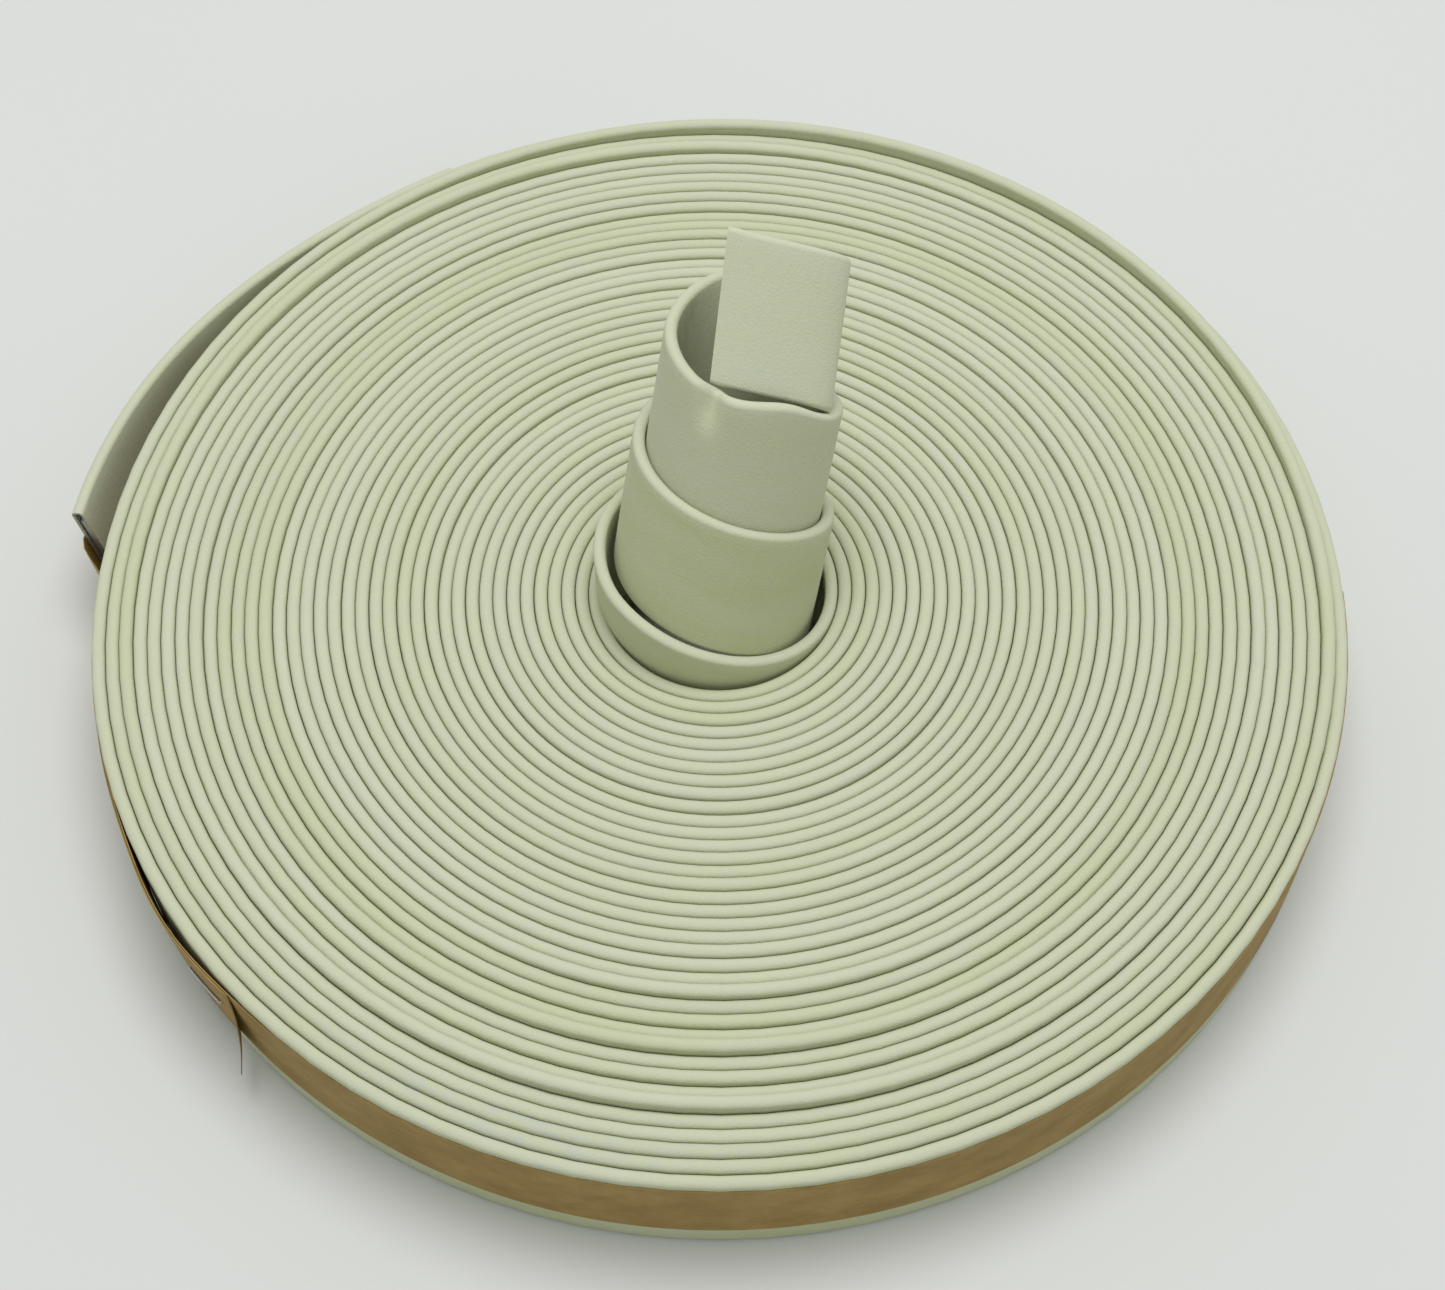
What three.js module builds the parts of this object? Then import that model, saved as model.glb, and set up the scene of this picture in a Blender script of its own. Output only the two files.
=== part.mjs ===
// A rolled lay-flat fire hose: one flat hose wound into a roll that stands on its edge turns, with its
// centre drawn up and leaning back, its outer end standing out, and a stapled kraft paper band round it.
// Units are millimetres and +Z is up. The origin is the bottom centre of the whole object's box.
import * as THREE from "three";

// ---- The hose -------------------------------------------------------------------------------------
const HOSE_WIDTH = 25.4; // across the flattened hose, which is the height of the roll
const HOSE_THICKNESS = 2.1; // through both walls and the lining
const EDGE_RADIUS = 0.85; // rounding of the folded edges
const LINING_THICKNESS = 0.6; // rubber lining, flat inside the jacket
const LINING_MARGIN = 3; // from a folded edge to the lining
const LINING_INSET = 0.4; // the lining ends this far inside each cut

// ---- The roll -------------------------------------------------------------------------------------
const ROLL_RADIUS = 110;
const HOLE_RADIUS = 21.6;
const CLEARANCE = 0.3; // between pieces that touch

// ---- The drawn-out centre, in turns counted inwards from where it leaves the roll ------------------
// Each stretch leans back and sideways by so much over the hose's width, and its axis is shifted by so
// much along X and Y. Its base, its rim at turn 0 and its rise in a turn are shares of that width.
const FIRST_TURN = { back: 1.99, side: -1.78, shift: [-0.95, 1.39], base: 0, rim: 0.153, rise: 0.709 };
const UPPER_TURNS = { back: 9.83, side: 4.02, shift: [-0.84, 1.03], base: 0.1, rim: -0.183, rise: 0.835 };
const END_FLAP = { back: 25.1, side: 3.11, base: 1.641, rim: -0.016, rise: 0.347 };
const TURN_STEP = HOSE_THICKNESS + CLEARANCE; // each turn is this much smaller in radius than the last
const FLAP_TAKEN_IN = 3.75; // the flap's bend is this much tighter than the third turn's start
const FLAP_FLATNESS = 0.35; // depth of the flap's bend against its radius
const FLAP_SET_RIGHT = 6.22; // shift of its axis to the right
const FLAP_SET_BACK = 15.22; // its front lies this far behind the front of a round bend
const LEAVES_ROLL = [0, 0.4]; // turns over which the hose lifts out of the roll
const LEANS_BACK = [0.39, 0.71]; // turns over which it takes the upper turns' lean
const FOLDS_BACK = [2.5, 3.01]; // turns over which it folds back into the end flap
const TURN_ENDS = { inner_turn_1: 1, inner_turn_2: 2, inner_turn_3: 2.6, inner_end: 3.37 };
const SWING_ROOM = 0.9; // between the third turn and the end flap, which swings there

// ---- The outer end --------------------------------------------------------------------------------
const TAIL_FROM = 118; // degrees round the roll, counter-clockwise from +X
const TAIL_TO = 172;
const TAIL_LEAN = 9; // its top leans out by this many degrees at the cut

// ---- The paper band -------------------------------------------------------------------------------
const BAND_WIDTH = 17.4;
const BAND_THICKNESS = 0.4;
const BAND_BELOW_RIM = 2; // from the roll's top face down to the band
const BAND_SLIP = 5.6; // how far the band sits lower where it holds the outer end
const BAND_FROM = 150; // the inside start, under the outer end
const BAND_TO = 360 + 223.5; // the outside layer as far as its free end
const FREE_END_TO = 360 + 226.6;
const FREE_END_FLARE = 1.6; // how far the torn end stands off
const BAND_CLIMBS = 20; // degrees over which the outside layer climbs on to the outer end
const BAND_SETTLES = 12; // degrees over which it comes down off the outer end

// ---- The staple -----------------------------------------------------------------------------------
const STAPLE_CROWN = 8.4;
const STAPLE_WIRE = 0.5;
const STAPLE_AT = 220.3; // degrees round the roll
const STAPLE_BELOW_BAND_TOP = 7.5;

// ---- Fineness ---------------------------------------------------------------------------------------
const STEPS_PER_TURN = 40;
const DEGREES_PER_STEP = 4;

const rad = THREE.MathUtils.degToRad;
const coverGreen = { color: 0xc5cba9, roughness: 0.75, metalness: 0 };
const liningGrey = { color: 0x9a9c90, roughness: 0.9, metalness: 0 };
const kraftBrown = { color: 0xa57f4e, roughness: 0.85, metalness: 0 };
const stapleSteel = { color: 0xb9bcc0, roughness: 0.35, metalness: 1 };

const roll = new THREE.Group();

function addPart(name, geometry, look) {
  const mesh = new THREE.Mesh(geometry, new THREE.MeshStandardMaterial(look));
  mesh.name = name;
  roll.add(mesh);
}

const smooth = (x, [from, to]) => THREE.MathUtils.smoothstep(x, from, to);

// A flat rectangle with rounded corners: x runs through the thickness and y across the width.
function roundedBar(thickness, width, radius, centreY = 0) {
  const x = thickness / 2;
  const y = width / 2;
  const bar = new THREE.Shape();
  bar.absarc(x - radius, centreY + y - radius, radius, 0, Math.PI / 2, false);
  bar.absarc(radius - x, centreY + y - radius, radius, Math.PI / 2, Math.PI, false);
  bar.absarc(radius - x, centreY + radius - y, radius, Math.PI, 1.5 * Math.PI, false);
  bar.absarc(x - radius, centreY + radius - y, radius, 1.5 * Math.PI, 2 * Math.PI, false);
  return bar;
}

// A straight bar of the given section, bent so that each slice stands in the frame place(t) gives it:
// its middle point, its outward direction and its upward direction. t runs from `from` to `to`.
function bentBar(section, from, to, steps, place) {
  const options = { depth: 1, steps, bevelEnabled: false, curveSegments: 2 };
  const bar = new THREE.ExtrudeGeometry(section, options);
  const points = bar.getAttribute("position");
  for (let i = 0; i < points.count; i += 1) {
    const { middle, out, up } = place(THREE.MathUtils.lerp(from, to, points.getZ(i)));
    const point = middle.clone();
    point.addScaledVector(out, points.getX(i)).addScaledVector(up, points.getY(i));
    points.setXYZ(i, point.x, point.y, point.z);
  }
  return bar;
}

// The same bar when it runs clockwise, which turns its faces round.
function flipped(geometry) {
  const plain = geometry.clone();
  const points = plain.getAttribute("position");
  for (let i = 0; i < points.count; i += 3) {
    const a = new THREE.Vector3().fromBufferAttribute(points, i + 1);
    const b = new THREE.Vector3().fromBufferAttribute(points, i + 2);
    points.setXYZ(i + 1, b.x, b.y, b.z);
    points.setXYZ(i + 2, a.x, a.y, a.z);
  }
  plain.computeVertexNormals();
  return plain;
}

// ---- The wound roll: a plain ring ------------------------------------------------------------------
function woundRoll() {
  const r = EDGE_RADIUS;
  const corner = (x, z, start) =>
    [0, 1, 2].map((k) => {
      const angle = start + (k * Math.PI) / 4;
      return new THREE.Vector2(x + r * Math.cos(angle), z + r * Math.sin(angle));
    });
  const outline = [
    ...corner(ROLL_RADIUS - r, r, -Math.PI / 2),
    ...corner(ROLL_RADIUS - r, HOSE_WIDTH - r, 0),
    ...corner(HOLE_RADIUS + r, HOSE_WIDTH - r, Math.PI / 2),
    ...corner(HOLE_RADIUS + r, r, Math.PI),
  ];
  const ring = new THREE.LatheGeometry([...outline, outline[0]], 360 / DEGREES_PER_STEP);
  return ring.rotateX(Math.PI / 2); // a lathe turns about Y
}

// ---- The drawn-out centre ---------------------------------------------------------------------------
const CORE_RADIUS = HOLE_RADIUS - CLEARANCE - HOSE_THICKNESS / 2;
const FLAP_RADIUS = CORE_RADIUS - 2 * TURN_STEP - FLAP_TAKEN_IN;
const FLAP_SHIFT = [FLAP_SET_RIGHT, FLAP_SET_BACK - FLAP_RADIUS * (1 - FLAP_FLATNESS)];

const IN_ROLL = { back: 0, side: 0, shift: [0, 0], base: 0, rim: 0, rise: 0 };

// One leaning stretch of the centre: where the hose's mid-line is after `turn` turns.
function leaningPlace(stretch, turn, radius, flatness = 1) {
  const back = Math.atan(stretch.back / HOSE_WIDTH);
  const side = Math.atan(stretch.side / HOSE_WIDTH);
  const up = new THREE.Vector3(
    Math.sin(side),
    Math.sin(back) * Math.cos(side),
    Math.cos(back) * Math.cos(side),
  );
  const right = new THREE.Vector3(0, 1, 0).cross(up).normalize();
  const away = up.clone().cross(right);
  const angle = -2 * Math.PI * turn;
  const rim = (stretch.rim + stretch.rise * turn) * HOSE_WIDTH;
  const middle = new THREE.Vector3(...stretch.shift, (1 + stretch.base) * HOSE_WIDTH);
  middle.addScaledVector(up, rim - HOSE_WIDTH / 2);
  middle.addScaledVector(right, radius * Math.cos(angle));
  middle.addScaledVector(away, radius * flatness * Math.sin(angle));
  const out = right.clone().multiplyScalar(flatness * Math.cos(angle));
  out.addScaledVector(away, Math.sin(angle));
  return { middle, out: out.normalize(), up };
}

function mixPlaces(a, b, share) {
  const up = a.up.clone().lerp(b.up, share).normalize();
  const out = a.out.clone().lerp(b.out, share);
  out.addScaledVector(up, -out.dot(up)).normalize();
  return { middle: a.middle.clone().lerp(b.middle, share), out, up };
}

function centrePlace(turn) {
  const radius = CORE_RADIUS - TURN_STEP * turn;
  let place = leaningPlace(IN_ROLL, turn, CORE_RADIUS);
  place = mixPlaces(place, leaningPlace(FIRST_TURN, turn, radius), smooth(turn, LEAVES_ROLL));
  place = mixPlaces(place, leaningPlace(UPPER_TURNS, turn, radius), smooth(turn, LEANS_BACK));
  const flap = { ...END_FLAP, shift: FLAP_SHIFT };
  const folded = leaningPlace(flap, turn, FLAP_RADIUS, FLAP_FLATNESS);
  return mixPlaces(place, folded, smooth(turn, FOLDS_BACK));
}

// A short length along the hose, in turns.
const turnsFor = (length, turn) => length / (2 * Math.PI * (CORE_RADIUS - TURN_STEP * turn));

// ---- The hose's own sections --------------------------------------------------------------------------
const flatHose = () => roundedBar(HOSE_THICKNESS, HOSE_WIDTH, EDGE_RADIUS);

function rectangle(thickness, width) {
  const x = thickness / 2;
  const y = width / 2;
  const corners = [[x, -y], [x, y], [-x, y], [-x, -y]];
  return new THREE.Shape(corners.map(([a, b]) => new THREE.Vector2(a, b)));
}

// A free end is open where the lining lies, with a clearance all round it.
function openHose() {
  const section = flatHose();
  const room = 2 * CLEARANCE;
  const bore = rectangle(LINING_THICKNESS + room, HOSE_WIDTH - 2 * LINING_MARGIN + room);
  section.holes.push(bore);
  return section;
}

const lining = () => rectangle(LINING_THICKNESS, HOSE_WIDTH - 2 * LINING_MARGIN);

function innerTurns() {
  let from = 0;
  for (const [name, to] of Object.entries(TURN_ENDS)) {
    const freeEnd = name === "inner_end";
    const gap = name === "inner_turn_3" ? SWING_ROOM : CLEARANCE;
    const end = freeEnd ? to : to - turnsFor(gap, to);
    const steps = Math.ceil((end - from) * STEPS_PER_TURN);
    const section = freeEnd ? openHose() : flatHose();
    addPart(name, bentBar(section, from, end, steps, centrePlace), coverGreen);
    if (freeEnd) {
      const inset = turnsFor(LINING_INSET, to);
      const strip = bentBar(lining(), from + inset, end - inset, steps, centrePlace);
      addPart("inner_end_lining", strip, liningGrey);
    }
    from = to;
  }
}

// ---- The outer end --------------------------------------------------------------------------------------
const FIRST_LAYER_RADIUS = ROLL_RADIUS + CLEARANCE + BAND_THICKNESS / 2;
const SECOND_LAYER_RADIUS = FIRST_LAYER_RADIUS + BAND_THICKNESS + CLEARANCE;
const TAIL_RADIUS = FIRST_LAYER_RADIUS + BAND_THICKNESS / 2 + CLEARANCE + HOSE_THICKNESS / 2;

// A point and its directions on a wall round the roll that leans outwards by `lean` degrees.
function wallPlace(degrees, radius, height, lean = 0) {
  const round = new THREE.Vector3(Math.cos(rad(degrees)), Math.sin(rad(degrees)), 0);
  const middle = round.clone().multiplyScalar(radius).setZ(height);
  const out = round.clone().multiplyScalar(Math.cos(rad(lean))).setZ(-Math.sin(rad(lean)));
  const up = round.clone().multiplyScalar(Math.sin(rad(lean))).setZ(Math.cos(rad(lean)));
  return { middle, out, up };
}

const tailLean = (degrees) => TAIL_LEAN * smooth(degrees, [TAIL_FROM, TAIL_TO]);

// The hose leans about its lower edge, which stays on the ground.
function tailPlace(degrees) {
  const lean = rad(tailLean(degrees));
  const radius = TAIL_RADIUS + (HOSE_WIDTH / 2) * Math.sin(lean);
  const height = (HOSE_WIDTH / 2) * Math.cos(lean) + (HOSE_THICKNESS / 2) * Math.sin(lean);
  return wallPlace(degrees, radius, height, tailLean(degrees));
}

const degreesFor = (length, radius) => THREE.MathUtils.radToDeg(length / radius);

function outerEnd() {
  const steps = Math.ceil((TAIL_TO - TAIL_FROM) / DEGREES_PER_STEP);
  const cover = bentBar(openHose(), TAIL_FROM, TAIL_TO, steps, tailPlace);
  addPart("outer_end", flipped(cover), coverGreen);
  const inset = degreesFor(LINING_INSET, TAIL_RADIUS);
  const strip = bentBar(lining(), TAIL_FROM + inset, TAIL_TO - inset, steps, tailPlace);
  addPart("outer_end_lining", flipped(strip), liningGrey);
}

// ---- The paper band: once round the roll, then over the outer end and over its own start -----------------
const BAND_HEIGHT = HOSE_WIDTH - BAND_BELOW_RIM - BAND_WIDTH / 2;

function bandPlace(degrees) {
  const second = degrees - 360;
  const climb = smooth(second, [TAIL_FROM - BAND_CLIMBS, TAIL_FROM - 2]);
  const settle = smooth(second, [TAIL_TO + 1, TAIL_TO + BAND_SETTLES]);
  const slip = smooth(second, [TAIL_FROM - 2 * BAND_CLIMBS, TAIL_FROM]);
  const back = smooth(second, [TAIL_TO, TAIL_TO + 2 * BAND_CLIMBS]);
  const height = BAND_HEIGHT - BAND_SLIP * slip * (1 - back);
  if (second < 0) return wallPlace(degrees, FIRST_LAYER_RADIUS, height);
  const lean = tailLean(Math.min(second, TAIL_TO)) * (1 - settle);
  const stand = (HOSE_THICKNESS + BAND_THICKNESS) / 2 + CLEARANCE;
  const overTail = TAIL_RADIUS + stand / Math.cos(rad(lean)) + height * Math.tan(rad(lean));
  const beforeAndAfter = settle > 0 ? SECOND_LAYER_RADIUS : FIRST_LAYER_RADIUS;
  const radius = THREE.MathUtils.lerp(beforeAndAfter, overTail, climb * (1 - settle));
  return wallPlace(degrees, radius, height, lean);
}

function freeEndPlace(degrees) {
  const share = (degrees - BAND_TO) / (FREE_END_TO - BAND_TO);
  return wallPlace(degrees, SECOND_LAYER_RADIUS + FREE_END_FLARE * share, BAND_HEIGHT);
}

function paperBand() {
  const paper = rectangle(BAND_THICKNESS, BAND_WIDTH);
  const steps = Math.ceil((BAND_TO - BAND_FROM) / DEGREES_PER_STEP);
  const band = bentBar(paper, BAND_FROM, BAND_TO, steps, bandPlace);
  addPart("paper_band", flipped(band), kraftBrown);
  const start = BAND_TO + degreesFor(CLEARANCE, SECOND_LAYER_RADIUS);
  const freeEnd = bentBar(paper, start, FREE_END_TO, 3, freeEndPlace);
  addPart("band_free_end", flipped(freeEnd), kraftBrown);
}

// The staple's crown lies outside the second layer, along the band.
function staple() {
  const radius = SECOND_LAYER_RADIUS + (BAND_THICKNESS + STAPLE_WIRE) / 2 + CLEARANCE;
  const height = HOSE_WIDTH - BAND_BELOW_RIM - STAPLE_BELOW_BAND_TOP;
  const half = degreesFor(STAPLE_CROWN / 2, radius);
  const wire = rectangle(STAPLE_WIRE, STAPLE_WIRE);
  const place = (degrees) => wallPlace(degrees, radius, height);
  const crown = bentBar(wire, STAPLE_AT - half, STAPLE_AT + half, 3, place);
  addPart("staple", flipped(crown), stapleSteel);
}

addPart("wound_roll", woundRoll(), coverGreen);
innerTurns();
outerEnd();
paperBand();
staple();

// The origin is the bottom centre of the box round everything.
const box = new THREE.Box3().setFromObject(roll, true);
const centre = box.getCenter(new THREE.Vector3());
roll.position.set(-centre.x, -centre.y, -box.min.z);

export default roll;
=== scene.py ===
# A rolled lay-flat fire hose in Blender 4.5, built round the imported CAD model.
# Sizes are written in millimetres times MM, angles in degrees, and the hose's own length in turns:
# turn 0 is where it leaves the roll, positive turns run inwards up the drawn-out centre, and negative
# turns run outwards through the roll.
import math

import bmesh
import bpy
import numpy as np
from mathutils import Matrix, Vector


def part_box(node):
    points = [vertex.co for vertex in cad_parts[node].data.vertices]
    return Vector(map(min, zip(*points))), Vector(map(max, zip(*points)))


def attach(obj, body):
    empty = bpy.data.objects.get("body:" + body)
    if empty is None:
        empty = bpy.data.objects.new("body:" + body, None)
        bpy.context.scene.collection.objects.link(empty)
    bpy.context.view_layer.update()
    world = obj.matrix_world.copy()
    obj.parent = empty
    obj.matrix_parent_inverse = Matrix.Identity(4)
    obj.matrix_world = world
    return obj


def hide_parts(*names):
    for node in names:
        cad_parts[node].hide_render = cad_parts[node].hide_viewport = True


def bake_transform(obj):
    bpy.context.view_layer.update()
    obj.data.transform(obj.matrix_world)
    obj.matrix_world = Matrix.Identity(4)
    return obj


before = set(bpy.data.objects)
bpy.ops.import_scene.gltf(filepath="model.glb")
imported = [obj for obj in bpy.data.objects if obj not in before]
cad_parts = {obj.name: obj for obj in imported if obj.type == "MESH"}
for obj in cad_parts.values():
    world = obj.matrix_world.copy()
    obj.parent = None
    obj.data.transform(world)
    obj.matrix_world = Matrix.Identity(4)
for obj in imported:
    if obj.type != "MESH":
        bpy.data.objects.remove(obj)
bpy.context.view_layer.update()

MM = 0.001
DEG = math.pi / 180

# ---- The hose ---------------------------------------------------------------------------------------
HOSE_WIDTH = 25.4 * MM
HOSE_THICKNESS = 2.2 * MM
EDGE_RADIUS = 0.92 * MM
LINING_THICKNESS = 0.6 * MM
LINING_MARGIN = 3 * MM
LINING_INSET = 0.35 * MM  # the lining ends this far inside each cut
CLEARANCE = 0.3 * MM
WALL = 0.5 * MM  # one wall of the jacket, where a cut end shows it
CUT_DEPTH = 3 * MM  # how far a cut end is open
SLOT_TAPER = 0.02 * MM  # how much narrower the open slot is at its bottom

# ---- The roll ---------------------------------------------------------------------------------------
ROLL_RADIUS = 110 * MM
HOLE_RADIUS = 21.6 * MM
CORE_RADIUS = HOLE_RADIUS - CLEARANCE - HOSE_THICKNESS / 2
WHOLE_TURNS = 37
TAIL_FROM = 118  # degrees round the roll, counter-clockwise from +X, where the outer end comes away
TAIL_TO = 172
ROLL_TURNS = WHOLE_TURNS + TAIL_FROM / 360
LAST_TURN_RADIUS = ROLL_RADIUS + 0.2 * MM
PITCH = (LAST_TURN_RADIUS - CORE_RADIUS) / ROLL_TURNS
PRESSED = 0.055  # the wound turns are this much fuller than the free ones, so that they touch

# ---- The drawn-out centre -----------------------------------------------------------------------------
# Each stretch leans back and sideways by so many mm over the hose's width, and its axis is shifted by
# so many mm along X and Y. Its base, its rim at turn 0 and its rise in a turn are shares of that width.
TURN_STEP = 2.4 * MM
IN_ROLL = dict(back=0, side=0, shift=(0, 0), base=0, rim=0, rise=0)
FIRST_TURN = dict(back=1.99, side=-1.78, shift=(-0.95, 1.39), base=0, rim=0.153, rise=0.709)
UPPER_TURNS = dict(back=9.83, side=4.02, shift=(-0.84, 1.03), base=0.1, rim=-0.183, rise=0.835)
END_FLAP = dict(back=25.1, side=3.11, shift=(6.22, 7.62), base=1.641, rim=-0.016, rise=0.347)
FLAP_RADIUS = 11.7 * MM
FLAP_FLATNESS = 0.35
LEAVES_ROLL = (0, 0.4)
LEANS_BACK = (0.39, 0.71)
FOLDS_BACK = (2.5, 3.01)
CUT_AT = 3.37
SWING_AT = 2.595  # the turn round which folded_end takes two points on the hose
SWING_SPREAD = 0.07  # turns to each side of it at which those points lie
THIRD_TURN_ENDS = 2.5
END_LINING_FROM = 2.9
PINCH_AT = 2.335  # the turn where the third turn's rim is pinched in
PINCH_DEPTH = 2.2 * MM
PINCH_DROP = 1.1 * MM
RIM_LIFT_AT = 2.2  # the turn where the same rim stands highest
RIM_LIFT = 2.7 * MM
CREASED_AT = 2.52  # the turn where the inside of the loop is creased
CREASE_DEPTH = 0.5 * MM

# ---- The outer end and the paper band -------------------------------------------------------------------
TAIL_LEAN = 9
TAIL_RADIUS = 112.05 * MM
BAND_WIDTH = 17.4 * MM
BAND_THICKNESS = 0.2 * MM
BAND_BELOW_RIM = 2 * MM
BAND_SLIP = 5.6 * MM
BAND_FROM = 150
BAND_TO = 360 + 223.5
FREE_END_TO = 360 + 226.6
FREE_END_FLARE = 1.6 * MM
FREE_END_TWIST = 14  # degrees by which the torn end's lower edge turns outwards
BAND_CLIMBS = 20  # degrees over which the outside layer climbs on to the outer end
BAND_SETTLES = 6  # degrees over which it comes down off the outer end
BAND_GAPES = 4  # degrees by which its top leans out beside the staple
GAPES_AT = 215
GAPES_SPREAD = 8
PAPER_LIFT = 0.06 * MM  # from the roll to the first layer of paper
TAIL_PAPER_LIFT = 0.1 * MM  # from the outer end to the paper outside it
LAYER_STEP = 0.3 * MM  # from the first layer of paper to the second
STAPLE_CROWN = 8.4 * MM
STAPLE_WIRE = 0.5 * MM
STAPLE_AT = 220.3
STAPLE_BELOW_BAND_TOP = 7.5 * MM
STAPLE_LEG = 1.0 * MM
STAPLE_LIFT = 0.05 * MM  # from the paper to the wire

# ---- Fineness -------------------------------------------------------------------------------------------
ROLL_STEPS_PER_TURN = 90
CENTRE_STEPS_PER_TURN = 120
EDGE_POINTS = 4  # points on each rounded corner of the hose's section
SHARP_CORNER = 40  # degrees from which a corner of the paper or the lining is shaded as sharp

low, high = (np.array(corner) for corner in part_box("wound_roll"))
AXIS = np.array([(low[0] + high[0]) / 2, (low[1] + high[1]) / 2, 0.0])
TOP = high[2]


# ---- The camera -----------------------------------------------------------------------------------------
def add_camera():
    camera = bpy.data.cameras.new("camera")
    camera.sensor_width = 36
    camera.lens = 63.78
    seat = bpy.data.objects.new("camera", camera)
    seat.location = (AXIS[0], AXIS[1] - 0.2443, TOP + 0.3791)
    looks_down, turns_right = 58.52, 0.235
    seat.rotation_euler = ((90 - looks_down) * DEG, 0, -turns_right * DEG)
    bpy.context.collection.objects.link(seat)
    bpy.context.scene.camera = seat


# ---- Small helpers ----------------------------------------------------------------------------------------
def smooth(x, start, end):
    share = np.clip((np.asarray(x, float) - start) / (end - start), 0, 1)
    return share * share * (3 - 2 * share)


def bump(x, centre, width):
    return np.exp(-(((x - centre) / width) ** 2))


class Waver:
    """Smooth seeded noise along one number, about -1 to 1, with one free value every `period`."""

    COUNT = 4096
    FIRST = 512  # the value at 0, so that numbers below 0 have values too

    def __init__(self, seed, period):
        self.values = np.random.default_rng(seed).uniform(-1, 1, self.COUNT)
        self.period = period

    def __call__(self, x):
        place = np.asarray(x, float) / self.period + self.FIRST
        whole = np.floor(place).astype(int)
        share = place - whole
        share = share * share * (3 - 2 * share)
        before, after = self.values[whole % self.COUNT], self.values[(whole + 1) % self.COUNT]
        return before * (1 - share) + after * share


def unit(vectors):
    return vectors / np.linalg.norm(vectors, axis=-1, keepdims=True)


# ---- Where the hose runs ------------------------------------------------------------------------------------
def leaning_place(stretch, turn, radius, flatness=1.0):
    back, side = (math.atan(stretch[way] * MM / HOSE_WIDTH) for way in ("back", "side"))
    up = np.array([math.sin(side), math.sin(back) * math.cos(side), math.cos(back) * math.cos(side)])
    right = unit(np.cross([0.0, 1.0, 0.0], up))
    away = np.cross(up, right)
    angle = (-2 * math.pi * turn)[..., None]
    rim = (stretch["rim"] + stretch["rise"] * turn) * HOSE_WIDTH
    shift_x, shift_y = stretch["shift"]
    foot = AXIS + np.array([shift_x * MM, shift_y * MM, (1 + stretch["base"]) * HOSE_WIDTH])
    middle = foot + (rim - HOSE_WIDTH / 2)[..., None] * up
    middle = middle + radius[..., None] * (np.cos(angle) * right + flatness * np.sin(angle) * away)
    out = unit(flatness * np.cos(angle) * right + np.sin(angle) * away)
    return middle, out, np.broadcast_to(up, out.shape)


def mix_places(a, b, share):
    share = share[..., None]
    middle, out, up = (p * (1 - share) + q * share for p, q in zip(a, b))
    up = unit(up)
    out = unit(out - (out * up).sum(-1, keepdims=True) * up)
    return middle, out, up


def centre_place(turn):
    """The hose's mid-line, outward and upward directions, in the roll and up the drawn-out centre."""
    radius = CORE_RADIUS - TURN_STEP * np.maximum(turn, 0)
    in_roll = CORE_RADIUS - PITCH * np.minimum(turn, 0)
    place = leaning_place(IN_ROLL, turn, in_roll)
    place = mix_places(place, leaning_place(FIRST_TURN, turn, radius), smooth(turn, *LEAVES_ROLL))
    place = mix_places(place, leaning_place(UPPER_TURNS, turn, radius), smooth(turn, *LEANS_BACK))
    flap = np.full(turn.shape, FLAP_RADIUS)
    folded = leaning_place(END_FLAP, turn, flap, FLAP_FLATNESS)
    return mix_places(place, folded, smooth(turn, *FOLDS_BACK))


def wall_place(degrees, radius, height, lean=0.0):
    """A point and its directions on a wall round the roll that leans outwards by `lean` degrees."""
    angle = np.asarray(degrees, float) * DEG
    lean = np.broadcast_to(np.asarray(lean, float) * DEG, angle.shape)
    radius = np.broadcast_to(radius, angle.shape)
    height = np.broadcast_to(height, angle.shape)
    flat = np.stack([np.cos(angle), np.sin(angle), np.zeros_like(angle)], -1)
    upright = np.array([0.0, 0.0, 1.0])
    middle = AXIS + radius[..., None] * flat + height[..., None] * upright
    out = np.cos(lean)[..., None] * flat - np.sin(lean)[..., None] * upright
    up = np.sin(lean)[..., None] * flat + np.cos(lean)[..., None] * upright
    return middle, out, up


def tail_lean(degrees):
    return TAIL_LEAN * smooth(degrees, TAIL_FROM + 6, TAIL_TO)


def tail_place(degrees):
    lean = tail_lean(degrees) * DEG
    standing_off = smooth(degrees, TAIL_FROM + 2, TAIL_FROM + 42)
    radius = LAST_TURN_RADIUS + (TAIL_RADIUS - LAST_TURN_RADIUS) * standing_off
    radius = radius + HOSE_WIDTH / 2 * np.sin(lean)
    height = HOSE_WIDTH / 2 * np.cos(lean) + HOSE_THICKNESS / 2 * np.sin(lean)
    return wall_place(degrees, radius, height, tail_lean(degrees))


# ---- Where the paper runs -----------------------------------------------------------------------------------
BAND_HEIGHT = HOSE_WIDTH - BAND_BELOW_RIM - BAND_WIDTH / 2


def roll_surface(degrees):
    """The outer face of the roll's last turn, from TAIL_FROM to TAIL_FROM + 360."""
    turns = WHOLE_TURNS - 1 + degrees / 360
    return CORE_RADIUS + PITCH * turns + HOSE_THICKNESS / 2


def first_layer(degrees):
    return roll_surface(degrees) + BAND_THICKNESS / 2 + PAPER_LIFT


def gape(degrees):
    """The paper's top edge leans off the roll beside the staple, while its lower edge stays on it."""
    return BAND_GAPES * bump(degrees, GAPES_AT, GAPES_SPREAD)


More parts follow.
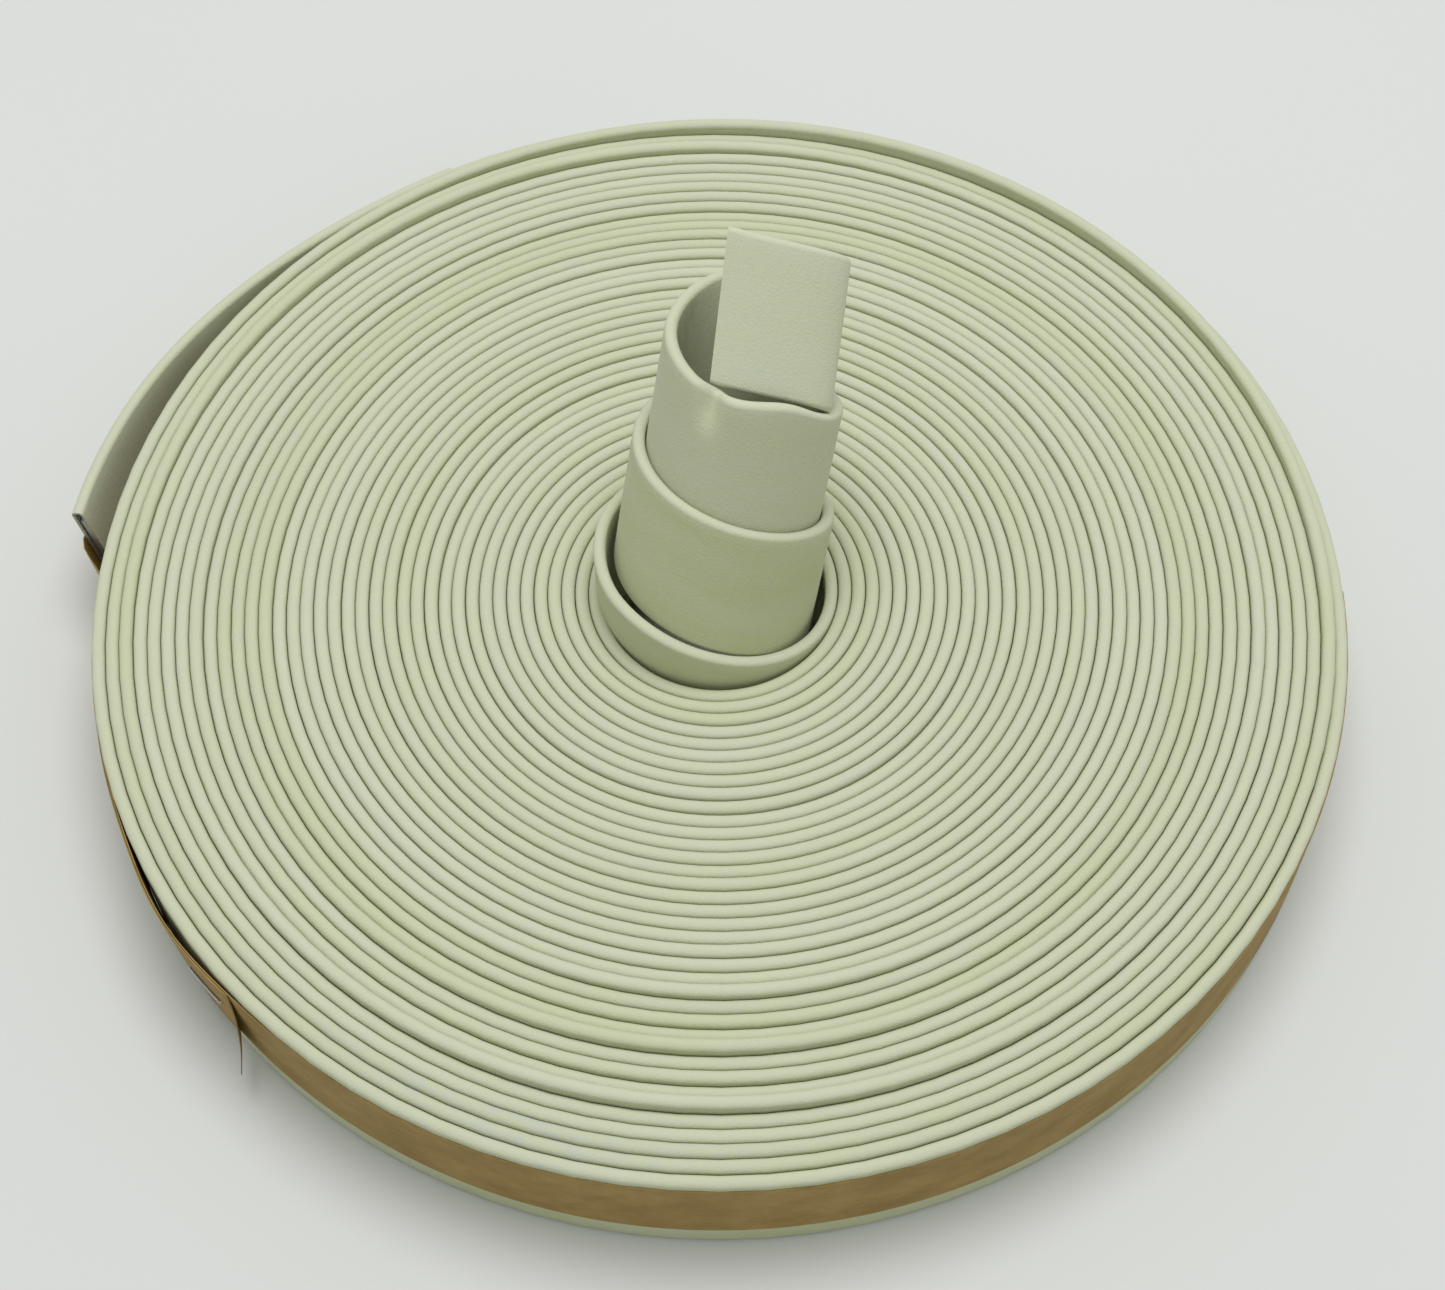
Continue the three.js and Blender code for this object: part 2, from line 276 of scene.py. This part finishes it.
def band_run(degrees):
    """The band's radius, height and lean. A known fault: from 360 degrees to 360 + TAIL_FROM it lies
    on the turn below the outermost one, because `lies_on` starts again there, and so is hidden."""
    second = degrees - 360
    climb = smooth(second, TAIL_FROM - BAND_CLIMBS, TAIL_FROM - 2)
    settle = smooth(second, TAIL_TO + 0.2, TAIL_TO + BAND_SETTLES)
    slip = smooth(second, TAIL_FROM - 2 * BAND_CLIMBS, TAIL_FROM)
    slip = slip * (1 - smooth(second, TAIL_TO, TAIL_TO + 2 * BAND_CLIMBS))
    height = BAND_HEIGHT - BAND_SLIP * slip
    over_tail = np.where(second < 0, 0, climb * (1 - settle))
    lies_on = np.where(second < 0, degrees, second)
    lean = tail_lean(np.clip(second, 0, TAIL_TO)) * (1 - settle) * (second > 0)
    stand = (HOSE_THICKNESS + BAND_THICKNESS) / 2 + TAIL_PAPER_LIFT
    tail = TAIL_RADIUS + stand / np.cos(lean * DEG) + height * np.tan(lean * DEG)
    on_roll = first_layer(lies_on) + np.where(second > TAIL_TO, LAYER_STEP, 0)
    on_roll = on_roll + BAND_WIDTH / 2 * np.sin(gape(lies_on) * DEG)
    radius = on_roll * (1 - over_tail) + tail * over_tail
    return radius, height, lean + gape(lies_on)


def band_place(degrees):
    return wall_place(degrees, *band_run(degrees))


def free_end_place(degrees):
    share = np.clip((degrees - BAND_TO) / (FREE_END_TO - BAND_TO), 0, 1.2)
    radius, height, lean = band_run(degrees)
    twist = FREE_END_TWIST * share
    stands_off = FREE_END_FLARE * share**1.5 + BAND_WIDTH / 4 * np.sin(twist * DEG)
    return wall_place(degrees, radius + stands_off, height, lean - twist)


# ---- Sections and sweeping ----------------------------------------------------------------------------------
def rounded_section(thickness, width, radius, points=EDGE_POINTS, across=1):
    """Points round a flat section: x through the thickness, y across the width."""
    x, y = thickness / 2 - radius, width / 2 - radius
    section = []
    for quarter, (cx, cy) in enumerate([(x, y), (-x, y), (-x, -y), (x, -y)]):
        for k in range(points):
            angle = (quarter + k / (points - 1)) * math.pi / 2
            section.append((cx + radius * math.cos(angle), cy + radius * math.sin(angle)))
        if quarter in (1, 3):
            side = 1 if quarter == 3 else -1
            for k in range(1, across):
                section.append((side * thickness / 2, side * (2 * y * k / across - y)))
    return np.array(section)


def rectangle(thickness, width):
    x, y = thickness / 2, width / 2
    return np.array([(x, -y), (x, y), (-x, y), (-x, -y)])


def swept(name, section, start, end, steps, place, along, warp=None):
    """A closed bar: the section carried along place(t) from start to end. A straight grid is rolled
    up and bent. Its UV map holds along(t), in metres, and the distance round its section."""
    rows = len(section)
    bm = bmesh.new()
    bmesh.ops.create_grid(bm, x_segments=steps, y_segments=rows, size=0.5)
    mesh = bpy.data.meshes.new(name)
    bm.to_mesh(mesh)
    bm.free()
    flat = np.empty(len(mesh.vertices) * 3)
    mesh.vertices.foreach_get("co", flat)
    flat = flat.reshape(-1, 3)
    t = start + (end - start) * (flat[:, 0] + 0.5)
    row = np.rint((flat[:, 1] + 0.5) * rows).astype(int)
    around = np.linalg.norm(np.diff(section, axis=0, append=section[:1]), axis=1)
    around = np.concatenate([[0], np.cumsum(around)])[row]
    corners = np.empty(len(mesh.loops), int)
    mesh.loops.foreach_get("vertex_index", corners)
    layer = mesh.uv_layers.new(name="UVMap")
    layer.data.foreach_set("uv", np.stack([along(t), around], -1)[corners].ravel())

    def surface(t, corner):
        x, y = section[corner % rows].T
        if warp:
            t, x, y = warp(t, x, y)
        middle, out, up = place(t)
        return middle + out * x[:, None] + up * y[:, None], middle

    points, middle = surface(t, row)
    mesh.vertices.foreach_set("co", points.ravel())
    step = (end - start) / steps / 4
    normal = np.cross(
        surface(t + step, row)[0] - surface(t - step, row)[0],
        surface(t, row + 1)[0] - surface(t, row - 1)[0],
    )
    normal = unit(normal) * np.sign((normal * (points - middle)).sum(-1, keepdims=True))
    mesh.attributes.new("path_normal", "FLOAT_VECTOR", "POINT").data.foreach_set("vector", normal.ravel())
    mesh.attributes.new("path_t", "FLOAT", "POINT").data.foreach_set("value", t.astype(np.float32))
    below_rim = section[:, 1].max() - section[row % rows, 1]
    mesh.attributes.new("below_rim", "FLOAT", "POINT").data.foreach_set("value", below_rim)
    return closed(mesh)


def closed(mesh):
    """Welds the grid's long seam, closes both ends and turns every face outwards."""
    bm = bmesh.new()
    bm.from_mesh(mesh)
    bmesh.ops.remove_doubles(bm, verts=bm.verts[:], dist=1e-7)
    bmesh.ops.holes_fill(bm, edges=[e for e in bm.edges if e.is_boundary], sides=0)
    bmesh.ops.recalc_face_normals(bm, faces=bm.faces[:])
    for face in bm.faces:
        face.smooth = len(face.verts) == 4
    bm.to_mesh(mesh)
    bm.free()
    piece = bpy.data.objects.new(mesh.name, mesh)
    bpy.context.collection.objects.link(piece)
    return piece


def shade_along_path(mesh):
    """Smooth faces take the path's own normals, so that one length of hose runs on into the next."""
    normals = np.empty(len(mesh.vertices) * 3)
    mesh.attributes["path_normal"].data.foreach_get("vector", normals)
    corners = np.empty(len(mesh.loops), int)
    mesh.loops.foreach_get("vertex_index", corners)
    normals = normals.reshape(-1, 3)[corners]
    for face in mesh.polygons:
        if not face.use_smooth:
            normals[face.loop_start : face.loop_start + face.loop_total] = face.normal
    mesh.normals_split_custom_set(normals.tolist())


def open_cut(piece, near, wall, depth):
    """Hollows the cut end nearest to `near`: a rim of the given wall round a slot of that depth."""
    bm = bmesh.new()
    bm.from_mesh(piece.data)
    caps = [face for face in bm.faces if len(face.verts) > 4]
    cap = min(caps, key=lambda face: np.linalg.norm(np.array(face.calc_center_median()) - near))
    cap.material_index = 1
    bmesh.ops.inset_region(bm, faces=[cap], thickness=wall, depth=0, use_even_offset=True)
    bmesh.ops.inset_region(bm, faces=[cap], thickness=SLOT_TAPER, depth=-depth, use_even_offset=True)
    bm.to_mesh(piece.data)
    bm.free()


def finish_piece(piece, materials, body=None, replaces=(), soft=True):
    """Shades and paints a piece, attaches it to its body and hides the CAD parts that it replaces. One that
    isn't soft keeps its section's corners sharp.
    """
    if soft:
        shade_along_path(piece.data)
    else:
        piece.data.set_sharp_from_angle(angle=SHARP_CORNER * DEG)
    for name in ("path_normal", "path_t", "below_rim"):
        piece.data.attributes.remove(piece.data.attributes[name])
    for material in materials:
        piece.data.materials.append(material)
    if body:
        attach(piece, body)
    if replaces:
        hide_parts(*replaces)
    return piece


# ---- Materials ------------------------------------------------------------------------------------------------
def srgb(code):
    """An sRGB hex colour as linear RGBA."""
    parts = [int(code[i : i + 2], 16) / 255 for i in (1, 3, 5)]
    linear = [c / 12.92 if c <= 0.04045 else ((c + 0.055) / 1.055) ** 2.4 for c in parts]
    return (*linear, 1)


def add_node(tree, kind, links=None, **settings):
    """Adds a node, sets its properties and its inputs, and links sockets into it."""
    node = tree.nodes.new(kind)
    inputs = settings.pop("inputs", {})
    for key, value in settings.items():
        setattr(node, key, value)
    for key, value in inputs.items():
        node.inputs[key].default_value = value
    for key, source in (links or {}).items():
        tree.links.new(source, node.inputs[key])
    return node


def new_material(name, roughness, **sockets):
    material = bpy.data.materials.new(name)
    material.use_nodes = True
    tree = material.node_tree
    shader = tree.nodes["Principled BSDF"]
    shader.inputs["Roughness"].default_value = roughness
    for key, value in sockets.items():
        shader.inputs[key.replace("_", " ")].default_value = value
    return material, tree, shader


def surface_mm(tree, along=1.0, across=1.0):
    """The piece's own UV map in millimetres, stretched where a pattern is longer one way."""
    source = add_node(tree, "ShaderNodeTexCoord").outputs["UV"]
    size = (along / MM, across / MM, 1)
    return add_node(tree, "ShaderNodeMapping", {"Vector": source}, inputs={"Scale": size}).outputs[0]


def noise(tree, vector, grain, detail=2.0, roughness=0.5):
    """Noise whose features are about `grain` of the vector's units across."""
    inputs = {"Scale": 1 / grain, "Detail": detail, "Roughness": roughness}
    return add_node(tree, "ShaderNodeTexNoise", {"Vector": vector}, inputs=inputs).outputs["Fac"]


def ramp(tree, fac, low_edge, high_edge, low_value=0.0, high_value=1.0):
    inputs = {1: low_edge, 2: high_edge, 3: low_value, 4: high_value}
    node = add_node(tree, "ShaderNodeMapRange", {0: fac}, inputs=inputs, clamp=True)
    return node.outputs[0]


def blended(tree, fac, a, b):
    """Mixes two colours, each a socket or a fixed colour."""
    links = {0: fac}
    inputs = {}
    for key, colour in ((6, a), (7, b)):
        if isinstance(colour, tuple):
            inputs[key] = colour
        else:
            links[key] = colour
    node = add_node(tree, "ShaderNodeMix", links, data_type="RGBA", inputs=inputs)
    return node.outputs[2]


def raised(tree, shader, height, distance, strength=1.0, normal=None):
    links = {"Height": height}
    if normal:
        links["Normal"] = normal
    inputs = {"Distance": distance, "Strength": strength}
    node = add_node(tree, "ShaderNodeBump", links, inputs=inputs)
    tree.links.new(node.outputs[0], shader.inputs["Normal"])
    return node.outputs[0]


def coated_jacket():
    """Lay-flat hose jacket: woven polyester under an extruded pale green cover. The cover leaves a
    matte skin with the weave just showing, fine cross wrinkles where it was bent, and worn grey dust."""
    material, tree, shader = new_material("coated_jacket", 0.86, Sheen_Weight=0.1)
    shader.inputs["Specular IOR Level"].default_value = 0.25
    tone = add_node(tree, "ShaderNodeAttribute", attribute_name="tone").outputs["Fac"]
    # The tone mixes the paler and the greener lengths of cover, and also paints shade: on the faces below the
    # rims it is pushed to the darker green.
    base = blended(tree, tone, srgb("#CBCFB3"), srgb("#BCC294"))
    surface = surface_mm(tree)
    clouds = ramp(tree, noise(tree, surface_mm(tree, 0.25, 1), 9, 3), 0.35, 0.7)
    mottled = blended(tree, ramp(tree, clouds, 0, 1, 0, 0.45), base, srgb("#CCD0BA"))
    wear = add_node(tree, "ShaderNodeAttribute", attribute_name="wear").outputs["Fac"]
    patchy = ramp(tree, noise(tree, surface_mm(tree, 0.3, 1), 1.6, 4, 0.7), 0.42, 0.62)
    dusty = add_node(tree, "ShaderNodeMath", {0: wear, 1: patchy}, operation="MULTIPLY").outputs[0]
    worn = blended(tree, dusty, mottled, srgb("#C3C6BC"))
    tree.links.new(worn, shader.inputs["Base Color"])
    weave = noise(tree, surface, 0.42, 2)
    wrinkles = noise(tree, surface_mm(tree, 1, 0.22), 0.9, 3, 0.6)
    fine = raised(tree, shader, weave, 0.12 * MM, 0.7)
    raised(tree, shader, wrinkles, 0.2 * MM, 0.55, fine)
    return material


def cut_weave():
    """The jacket's cut face: bare polyester threads, paler and rougher than the cover."""
    material, tree, shader = new_material("cut_weave", 0.95)
    threads = noise(tree, surface_mm(tree), 0.3, 2)
    colour = blended(tree, ramp(tree, threads, 0.4, 0.6), srgb("#8E937A"), srgb("#C9CCBA"))
    tree.links.new(colour, shader.inputs["Base Color"])
    raised(tree, shader, threads, 0.1 * MM)
    return material


def lining_rubber():
    """Extruded rubber lining: matte grey with a faint flow grain along the hose."""
    material, tree, shader = new_material("lining_rubber", 0.7)
    grain = noise(tree, surface_mm(tree, 0.15, 1), 0.5, 2)
    colour = blended(tree, grain, srgb("#A9ACA2"), srgb("#C6C8BF"))
    tree.links.new(colour, shader.inputs["Base Color"])
    raised(tree, shader, grain, 0.05 * MM, 0.5)
    return material


def kraft_paper():
    """Uncoated kraft paper: brown pulp with darker fibres along the sheet, soft mottling and a faint
    sheen from calendering."""
    material, tree, shader = new_material("kraft_paper", 0.72)
    shader.inputs["Specular IOR Level"].default_value = 0.3
    fibres = noise(tree, surface_mm(tree, 0.12, 1), 0.35, 3, 0.6)
    clouds = noise(tree, surface_mm(tree, 0.6, 1), 6, 4, 0.6)
    base = blended(tree, ramp(tree, clouds, 0.35, 0.65), srgb("#94793F"), srgb("#A68C50"))
    colour = blended(tree, ramp(tree, fibres, 0.5, 0.72, 0, 0.4), base, srgb("#6E5528"))
    tree.links.new(colour, shader.inputs["Base Color"])
    raised(tree, shader, fibres, 0.05 * MM, 0.6)
    return material


def galvanised_wire():
    """Drawn steel wire with a zinc coat: bright, with faint lengthwise draw lines."""
    material, tree, shader = new_material("galvanised_wire", 0.32, Metallic=1.0)
    lines = noise(tree, surface_mm(tree, 0.05, 1), 0.08, 2)
    colour = blended(tree, lines, srgb("#A9ABAD"), srgb("#D8DADB"))
    tree.links.new(colour, shader.inputs["Base Color"])
    tree.links.new(ramp(tree, lines, 0.3, 0.7, 0.25, 0.45), shader.inputs["Roughness"])
    return material


def pale_sheet():
    """The plain pale sheet that the roll lies on."""
    material, tree, shader = new_material("pale_sheet", 0.9)
    source = add_node(tree, "ShaderNodeTexCoord").outputs["Object"]
    clouds = noise(tree, source, 0.25, 2)
    colour = blended(tree, clouds, srgb("#D6D8D6"), srgb("#DDDFDC"))
    tree.links.new(colour, shader.inputs["Base Color"])
    return material


# ---- The hose's unevenness --------------------------------------------------------------------------------
# Turns that stand proud of the roll, counted inwards from the outermost: centre angle, half width and
# height. They show as a ridge that shades the turns beside it.
PROUD_TURNS = [
    (1.5, 55, 75, 3.0 * MM),
    (5.4, 268, 60, 2.3 * MM),
    (9.4, 275, 55, 2.2 * MM),
    (13.1, 268, 50, 1.4 * MM),
    (3.2, 125, 50, 1.6 * MM),
    (6.8, 340, 40, 1.0 * MM),
]
LOW_TURNS = [(0.5, 60, 60, 1.0 * MM), (6.4, 300, 90, 0.8 * MM)]
# Where two lengths of cover meet, in turns counted outwards from the centre: the colour changes there.
SPLICES = [0.6, 3.4, 7.2, 9.9, 13.3, 15.8, 19.1, 22.5, 24.2, 27.8, 30.1, 31.9, 34.3, 36.0]

slow_rise = Waver(11, 2.3)
quick_rise = Waver(12, 0.31)
side_shift = Waver(13, 0.45)
tone_drift = Waver(14, 0.8)


def unevenness(turns_out):
    """How far the hose stands above the roll's even top, by turns counted outwards."""
    rise = 0.5 * MM * slow_rise(turns_out) + 0.28 * MM * quick_rise(turns_out)
    degrees = turns_out * 360
    for sign, features in ((1, PROUD_TURNS), (-1, LOW_TURNS)):
        for inwards, angle, spread, height in features:
            whole = round(ROLL_TURNS - inwards - angle / 360)
            rise = rise + sign * height * bump(degrees, whole * 360 + angle, spread)
    return rise * smooth(turns_out, 0.3, 1.5)


def roll_warp(turn, x, y):
    turns_out = -turn
    pressed = smooth(turns_out, 0, 0.3) * (1 - smooth(turns_out, ROLL_TURNS - 0.3, ROLL_TURNS))
    x = x * (1 + PRESSED * pressed)
    near_rim = smooth(y, -HOSE_WIDTH / 2, HOSE_WIDTH / 2)
    x = x + 0.03 * MM * side_shift(turns_out) * near_rim * smooth(turns_out, 0.3, 1.5)
    return turn, x, y + unevenness(turns_out) * near_rim


def cover_tone(turns_out):
    """Which length of cover it is: 0 is the paler, greyer one and 1 the greener one."""
    shades = np.random.default_rng(5).uniform(0, 1, len(SPLICES) + 1)
    shades[::2] *= 0.45
    tone = np.full(turns_out.shape, shades[0])
    for splice, before, after in zip(SPLICES, shades, shades[1:]):
        tone = tone + (after - before) * smooth(turns_out, splice - 0.003, splice + 0.003)
    return np.clip(tone + 0.25 * tone_drift(turns_out), 0, 1)


def mark_cover(piece, rim_tone, face_shade, wear=0.15):
    """Writes the tone and the wear that the cover's material reads. The faces below the rims are pushed
    towards the darker green as painted shade, so the rims are paler than the faces below them."""
    below_rim = np.empty(len(piece.data.vertices))
    piece.data.attributes["below_rim"].data.foreach_get("value", below_rim)
    # Painted shade: below the rim the tone goes over to the face value, a darker green as if the face were
    # turned from the light.
    tone = rim_tone + (face_shade - rim_tone) * smooth(below_rim, 0.15 * MM, 1.3 * MM)
    for name, values in (("tone", tone), ("wear", wear)):
        attribute = piece.data.attributes.new(name, "FLOAT", "POINT")
        attribute.data.foreach_set("value", np.broadcast_to(values, below_rim.shape).astype(np.float32))


def path_turns(piece):
    turns = np.empty(len(piece.data.vertices))
    piece.data.attributes["path_t"].data.foreach_get("value", turns)
    return turns


def roll_marks(piece):
    """Tone, painted shade and wear of the wound turns."""
    turns_out = -path_turns(piece)
    degrees = turns_out % 1 * 360
    scuffed = bump(degrees, 252, 16) * bump(turns_out, 35.2, 1.1)
    wear = 0.12 + 0.8 * scuffed + 0.3 * np.clip(tone_drift(turns_out * 3), 0, 1)
    # The rims carry the lengths' own tone; the faces below them get the full painted shade.
    mark_cover(piece, 0.35 * cover_tone(turns_out), 1.0, wear)


# How deep the painted shade is on the faces of the drawn-out centre, by turns: the upright turns are shaded
# deepest, and the flap, which faces up to the light, least.
FACE_SHADES = [(0, 1.0), (1.0, 1.0), (1.6, 0.9), (2.2, 0.45), (2.9, 0.2), (3.4, 0.15)]


def centre_marks(piece):
    turns, shade_depths = zip(*FACE_SHADES)
    # The rims get a pale tone and the faces the painted shade from the table above.
    mark_cover(piece, 0.05, np.interp(path_turns(piece), turns, shade_depths))


# ---- The hose's pieces ------------------------------------------------------------------------------------
TURNS = np.linspace(-ROLL_TURNS - 0.1, CUT_AT + 0.1, 40000)
METRES = np.concatenate([[0], np.cumsum(np.linalg.norm(np.diff(centre_place(TURNS)[0], axis=0), axis=1))])


def hose_along(turns):
    """Metres of hose from its outer end to so many turns inwards."""
    return np.interp(turns, TURNS, METRES)


def wound_hose(jacket):
    section = rounded_section(HOSE_THICKNESS, HOSE_WIDTH, EDGE_RADIUS)
    steps = round(ROLL_TURNS * ROLL_STEPS_PER_TURN)
    piece = swept("wound_hose", section, -ROLL_TURNS, 0, steps, centre_place, hose_along, roll_warp)
    roll_marks(piece)
    finish_piece(piece, [jacket], "roll", ["wound_roll"])
    length = float(hose_along(0) - hose_along(-ROLL_TURNS))
    return piece


creases = Waver(21, 0.011)
crease_depth = Waver(22, 0.05)


def centre_warp(turn, x, y):
    """The drawn-out hose's own shape: the third turn's rim stands higher before a pinch in it, and the
    inside of its loop is creased."""
    top = smooth(y, 2 * MM, HOSE_WIDTH / 2)
    pinch = bump(turn, PINCH_AT, 0.02) * smooth(y, 4 * MM, HOSE_WIDTH / 2)
    bent = bump(turn, CREASED_AT, 0.11) * (x < 0) * (1 - smooth(y, 7 * MM, 11 * MM))
    x = x + CREASE_DEPTH * bent * creases(turn + y * 2.5) * (0.6 + 0.4 * crease_depth(turn))
    x = x - PINCH_DEPTH * pinch
    y = y + RIM_LIFT * bump(turn, RIM_LIFT_AT, 0.08) * top - PINCH_DROP * pinch
    return turn, x, y


# Each stretch of the centre: its first and last turn, its body, the second body for one that joins
# two, and the CAD node it stands for. A stretch that joins two bodies is attached to neither.
STRETCHES = [
    ("first_turn_rise", 0, 0.5, "roll", "first_turn", "inner_turn_1"),
    ("first_turn_top", 0.5, 1, "first_turn", None, None),
    ("second_turn_rise", 1, 1.5, "first_turn", "second_turn", "inner_turn_2"),
    ("second_turn_top", 1.5, 2, "second_turn", "third_turn", None),
    ("third_turn", 2, THIRD_TURN_ENDS, "third_turn", None, "inner_turn_3"),
]


def at_turn(turn):
    return centre_place(np.array([float(turn)]))[0][0]


def centre_turns(jacket):
    section = rounded_section(HOSE_THICKNESS, HOSE_WIDTH, EDGE_RADIUS, across=14)
    for name, start, end, body, next_body, node in STRETCHES:
        steps = round((end - start) * CENTRE_STEPS_PER_TURN)
        piece = swept(name, section, start, end, steps, centre_place, hose_along, centre_warp)
        centre_marks(piece)
        finish_piece(piece, [jacket], None if next_body else body, [node] if node else ())
        if next_body:
            at_turn(start)
            at_turn(end)
            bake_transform(piece)


def folded_end(jacket, weave, rubber):
    start = THIRD_TURN_ENDS
    ends = dict(start=at_turn(SWING_AT - SWING_SPREAD), end=at_turn(SWING_AT + SWING_SPREAD))
    section = rounded_section(HOSE_THICKNESS, HOSE_WIDTH, EDGE_RADIUS, across=14)
    steps = round((CUT_AT - start) * CENTRE_STEPS_PER_TURN)
    cover = swept("folded_end", section, start, CUT_AT, steps, centre_place, hose_along, centre_warp)
    centre_marks(cover)
    open_cut(cover, at_turn(CUT_AT), WALL, CUT_DEPTH)
    finish_piece(cover, [jacket, weave], replaces=["inner_end"])
    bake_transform(cover)
    inset = LINING_INSET / (2 * math.pi * FLAP_RADIUS)
    flat = rectangle(LINING_THICKNESS, HOSE_WIDTH - 2 * LINING_MARGIN)
    lining = swept("folded_end_lining", flat, END_LINING_FROM, CUT_AT - inset, 40, centre_place, hose_along)
    finish_piece(lining, [rubber], "folded_end", ["inner_end_lining"], soft=False)


def outer_end(jacket, weave, rubber):
    section = rounded_section(HOSE_THICKNESS, HOSE_WIDTH, EDGE_RADIUS, across=10)

    def along(degrees):
        return (TAIL_FROM - degrees) * DEG * TAIL_RADIUS + hose_along(-ROLL_TURNS)

    cover = swept("outer_end", section, TAIL_FROM, TAIL_TO, 60, tail_place, along)
    cut = tail_place(np.array([float(TAIL_TO)]))[0][0]
    # 0.3 is painted shade on the outer end's face below its rim.
    mark_cover(cover, 0.1, 0.3)
    open_cut(cover, cut, WALL, CUT_DEPTH)
    finish_piece(cover, [jacket, weave], "roll", ["outer_end"])
    flat = rectangle(LINING_THICKNESS, HOSE_WIDTH - 2 * LINING_MARGIN)
    inset = LINING_INSET / (DEG * TAIL_RADIUS)
    lining = swept("outer_end_lining", flat, TAIL_TO - 12, TAIL_TO - inset, 12, tail_place, along)
    finish_piece(lining, [rubber], "roll", ["outer_end_lining"], soft=False)


# ---- The paper band and its staple --------------------------------------------------------------------------
ragged = Waver(31, 1.3 * MM)
edge_waver = Waver(32, 14)


def torn_warp(degrees, x, y):
    """The tear runs slantwise, so that the paper's lower corner reaches furthest."""
    lower = 0.5 - y / BAND_WIDTH
    reach = 0.2 + 0.8 * smooth(lower, 0, 0.85) + 0.07 * ragged(y)
    return BAND_TO + (degrees - BAND_TO) * reach, x, y


def band_warp(degrees, x, y):
    return degrees, x, y + 0.18 * MM * edge_waver(degrees) * np.sign(y)


def paper_section(rows):
    section = rectangle(BAND_THICKNESS, BAND_WIDTH)
    heights = np.linspace(-BAND_WIDTH / 2, BAND_WIDTH / 2, rows)
    outer = [(section[0][0], height) for height in heights]
    inner = [(section[2][0], height) for height in heights[::-1]]
    return np.array(outer + inner)


def band_along(degrees):
    return degrees * DEG * ROLL_RADIUS


def paper_band(paper):
    sheet = paper_section(10)
    band = swept("paper_band", sheet, BAND_FROM, BAND_TO, 440, band_place, band_along, band_warp)
    finish_piece(band, [paper], "roll", ["paper_band"], soft=False)
    sheet = paper_section(30)
    tip = swept("band_free_end", sheet, BAND_TO, FREE_END_TO, 16, free_end_place, band_along, torn_warp)
    finish_piece(tip, [paper], replaces=["band_free_end"], soft=False)
    root, end = (free_end_place(np.array([d]))[0][0] for d in (BAND_TO, BAND_TO + 1.6))
    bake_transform(tip)
    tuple(root)
    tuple(end)


def staple(wire):
    """A round wire: its crown lies outside the second layer and its legs turn in through the paper."""
    height = HOSE_WIDTH - BAND_BELOW_RIM - STAPLE_BELOW_BAND_TOP
    half = STAPLE_CROWN / 2 / (ROLL_RADIUS * DEG)

    def place(share):
        degrees = STAPLE_AT + half * np.clip(share, -1, 1)
        over = np.maximum(np.abs(share) - 1, 0) * STAPLE_LEG
        lift = (BAND_THICKNESS + STAPLE_WIRE) / 2 + STAPLE_LIFT - over
        above_edge = height - BAND_HEIGHT + BAND_WIDTH / 2
        radius = first_layer(degrees) + LAYER_STEP + lift + above_edge * np.sin(gape(degrees) * DEG)
        middle, out, up = wall_place(degrees, radius, height)
        ahead = np.cross(up, out)
        turned = smooth(np.abs(share), 0.97, 1.03)[:, None] * np.sign(share)[:, None]
        out = unit(out * (1 - np.abs(turned)) + ahead * turned)
        return middle, out, up

    ring = np.linspace(0, 2 * math.pi, 12, endpoint=False)
    round_wire = STAPLE_WIRE / 2 * np.stack([np.cos(ring), np.sin(ring)], -1)
    piece = swept("staple", round_wire, -2, 2, 80, place, lambda share: share * STAPLE_CROWN / 2)
    finish_piece(piece, [wire], "roll", ["staple"])


# ---- The stage ------------------------------------------------------------------------------------------------
def add_light(name, location, size, power, target=(0, 0, 0.02)):
    light = bpy.data.lights.new(name, "AREA")
    light.shape = "DISK"
    light.size = size
    light.energy = power
    lamp = bpy.data.objects.new(name, light)
    lamp.location = location
    direction = np.array(target) - np.array(location)
    flat = math.hypot(direction[0], direction[1])
    lamp.rotation_euler = (math.atan2(flat, -direction[2]), 0, math.atan2(-direction[0], direction[1]))
    bpy.context.collection.objects.link(lamp)


def stage():
    bm = bmesh.new()
    bmesh.ops.create_grid(bm, x_segments=1, y_segments=1, size=3)
    mesh = bpy.data.meshes.new("pale_sheet")
    bm.to_mesh(mesh)
    bm.free()
    mesh.materials.append(pale_sheet())
    sheet = bpy.data.objects.new("pale_sheet", mesh)
    bpy.context.collection.objects.link(sheet)
    world = bpy.data.worlds.new("studio")
    world.use_nodes = True
    world.node_tree.nodes["Background"].inputs["Color"].default_value = (0.985, 1.0, 0.99, 1)
    world.node_tree.nodes["Background"].inputs["Strength"].default_value = 0.46
    bpy.context.scene.world = world
    bpy.context.scene.view_settings.view_transform = "Standard"
    add_light("ceiling_panel", (0.06, 0.2, 1.3), 0.9, 11)


add_camera()
jacket, weave, rubber = coated_jacket(), cut_weave(), lining_rubber()
paper, wire = kraft_paper(), galvanised_wire()
stage()
wound_hose(jacket)
centre_turns(jacket)
folded_end(jacket, weave, rubber)
outer_end(jacket, weave, rubber)
paper_band(paper)
staple(wire)
